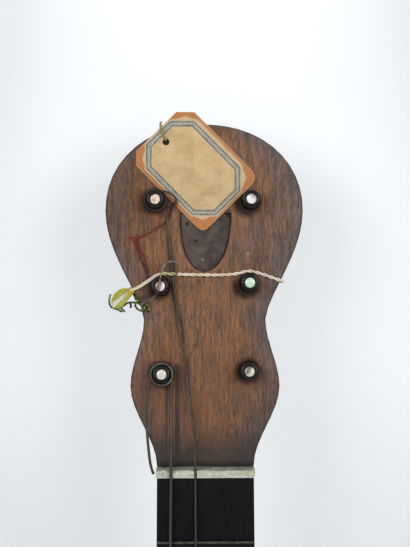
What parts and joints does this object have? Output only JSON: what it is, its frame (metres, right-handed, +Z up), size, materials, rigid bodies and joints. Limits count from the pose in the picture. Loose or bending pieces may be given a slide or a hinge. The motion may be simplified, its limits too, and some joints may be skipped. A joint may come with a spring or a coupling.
{
  "type": "guitar",
  "caption": "Small-bodied guitar with a figure-8 head, wooden friction pegs, bar frets and a pinned bridge, partly strung, with a twine and a card label on its head.",
  "frame": {"origin": "on the back of the neck beside the nut, on the centre line, where a hanger's fork carries the guitar", "axes": "+Z up the neck towards the head, -Y the way the soundboard faces, +X the treble side"},
  "size_m": [0.298, 0.1013, 0.952],
  "materials": {
    "neck_wood": "stained and varnished",
    "head_core": "stained and varnished",
    "veneer": "rosewood veneer, worn satin varnish",
    "shield": "bare dark wood",
    "rosewood": "rosewood, worn varnish",
    "spruce": "aged spruce, worn varnish",
    "ebony": "ebony, oiled",
    "bone": "aged bone, handled",
    "pearl": "mother-of-pearl, polished",
    "fret_metal": "tarnished",
    "string": "wound string, blackened",
    "twine": "twisted cotton and silk",
    "card": "old card"
  },
  "bodies": {
    "guitar": {"neck": "neck_wood", "head_plate": "head_core", "head_veneer": "veneer", "shield_inlay": "shield", "nut": "bone", "fingerboard": "ebony", "fret_01": "fret_metal", "fret_02": "fret_metal", "fret_03": "fret_metal", "fret_04": "fret_metal", "fret_05": "fret_metal", "fret_06": "fret_metal", "fret_07": "fret_metal", "fret_08": "fret_metal", "fret_09": "fret_metal", "fret_10": "fret_metal", "fret_11": "fret_metal", "fret_12": "fret_metal", "fret_13": "fret_metal", "fret_14": "fret_metal", "fret_15": "fret_metal", "fret_16": "fret_metal", "fret_17": "fret_metal", "soundboard": "spruce", "back_plate": "rosewood", "rib_bass": "rosewood", "rib_treble": "rosewood", "neck_block": "spruce", "tail_block": "spruce", "upper_top_bar": "spruce", "lower_top_bar": "spruce", "back_bar_1": "spruce", "back_bar_2": "spruce", "back_bar_3": "spruce", "bridge": "ebony", "saddle": "bone", "bridge_pin_1": "ebony", "bridge_pin_2": "ebony", "bridge_pin_3": "ebony", "bridge_pin_4": "ebony", "bridge_pin_5": "ebony", "bridge_pin_6": "ebony", "end_pin": "ebony", "string_sixth": "string", "string_fourth": "string", "string_loose_end": "string", "twine": "twine", "label_tag": "card"},
    "bass_lower_peg": {"peg_bass_lower": "ebony", "peg_bass_lower_eye": "pearl"},
    "bass_middle_peg": {"peg_bass_middle": "ebony", "peg_bass_middle_eye": "pearl"},
    "bass_upper_peg": {"peg_bass_upper": "ebony", "peg_bass_upper_eye": "pearl"},
    "treble_lower_peg": {"peg_treble_lower": "ebony", "peg_treble_lower_eye": "pearl"},
    "treble_middle_peg": {"peg_treble_middle": "ebony", "peg_treble_middle_eye": "pearl"},
    "treble_upper_peg": {"peg_treble_upper": "ebony", "peg_treble_upper_eye": "pearl"}
  },
  "joints": [
    {"name": "bass_lower_turn", "type": "hinge", "parent": "guitar", "child": "bass_lower_peg", "pos_m": [-0.0221, -0.00326, 0.05039], "axis": [0, -0.9659, 0.2588], "range_deg": [-720, 270]},
    {"name": "bass_middle_turn", "type": "hinge", "parent": "guitar", "child": "bass_middle_peg", "pos_m": [-0.0227, 0.00834, 0.09366], "axis": [0, -0.9659, 0.2588], "continuous": true},
    {"name": "bass_upper_turn", "type": "hinge", "parent": "guitar", "child": "bass_upper_peg", "pos_m": [-0.025, 0.01975, 0.13626], "axis": [0, -0.9659, 0.2588], "range_deg": [-720, 270]},
    {"name": "treble_lower_turn", "type": "hinge", "parent": "guitar", "child": "treble_lower_peg", "pos_m": [0.0225, -0.00292, 0.05164], "axis": [0, -0.9659, 0.2588], "continuous": true},
    {"name": "treble_middle_turn", "type": "hinge", "parent": "guitar", "child": "treble_middle_peg", "pos_m": [0.023, 0.00873, 0.09511], "axis": [0, -0.9659, 0.2588], "continuous": true},
    {"name": "treble_upper_turn", "type": "hinge", "parent": "guitar", "child": "treble_upper_peg", "pos_m": [0.024, 0.01975, 0.13626], "axis": [0, -0.9659, 0.2588], "continuous": true}
  ]
}
